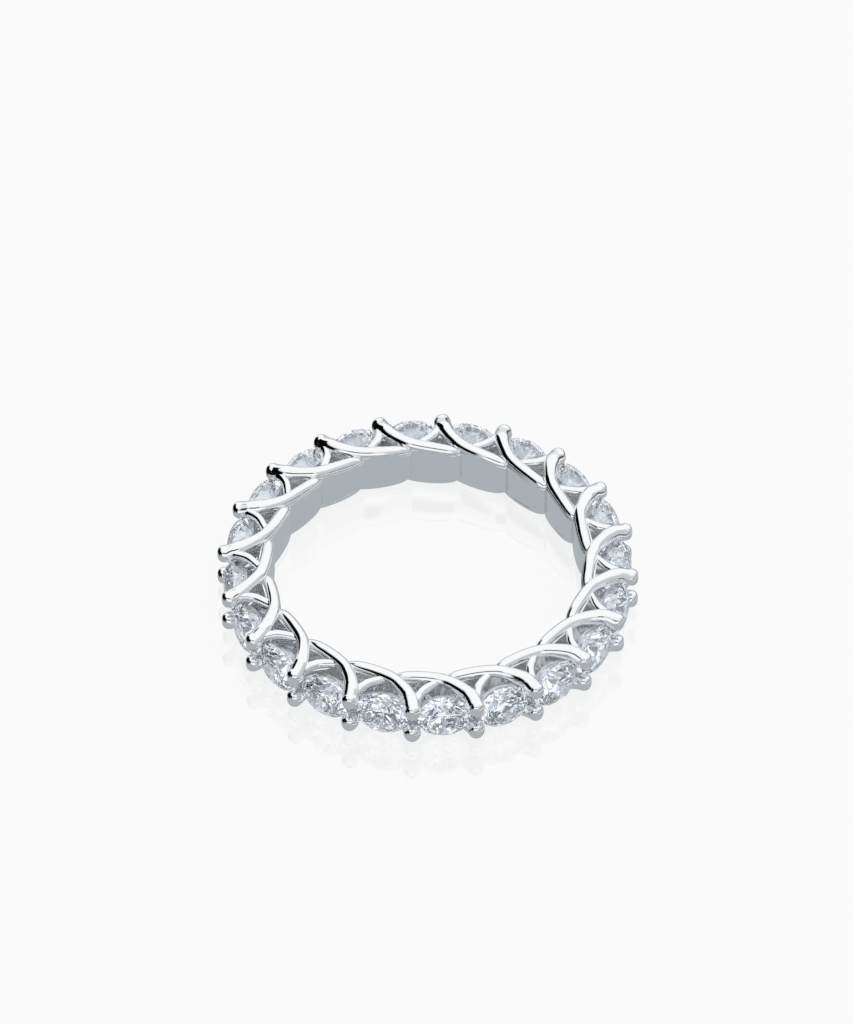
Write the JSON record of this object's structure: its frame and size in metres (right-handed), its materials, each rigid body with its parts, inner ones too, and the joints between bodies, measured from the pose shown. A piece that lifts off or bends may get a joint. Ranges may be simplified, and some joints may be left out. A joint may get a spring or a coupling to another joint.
{
  "type": "eternity ring",
  "caption": "Eternity ring with round brilliants in shared round-tipped prongs; long and short wires cross behind them and run into a plain polished wall round the finger.",
  "frame": {"origin": "middle of the finger hole, at the height of the lowest wires", "axes": "+Z along the finger axis with the ring lying on its side, +Y towards the first prong"},
  "size_m": [0.023, 0.023, 0.003],
  "materials": {
    "white_gold": "polished",
    "diamond": "polished"
  },
  "bodies": {
    "root": {"setting": "white_gold", "stone_01": "diamond", "stone_02": "diamond", "stone_03": "diamond", "stone_04": "diamond", "stone_05": "diamond", "stone_06": "diamond", "stone_07": "diamond", "stone_08": "diamond", "stone_09": "diamond", "stone_10": "diamond", "stone_11": "diamond", "stone_12": "diamond", "stone_13": "diamond", "stone_14": "diamond", "stone_15": "diamond", "stone_16": "diamond", "stone_17": "diamond", "stone_18": "diamond", "stone_19": "diamond", "stone_20": "diamond"}
  },
  "joints": []
}
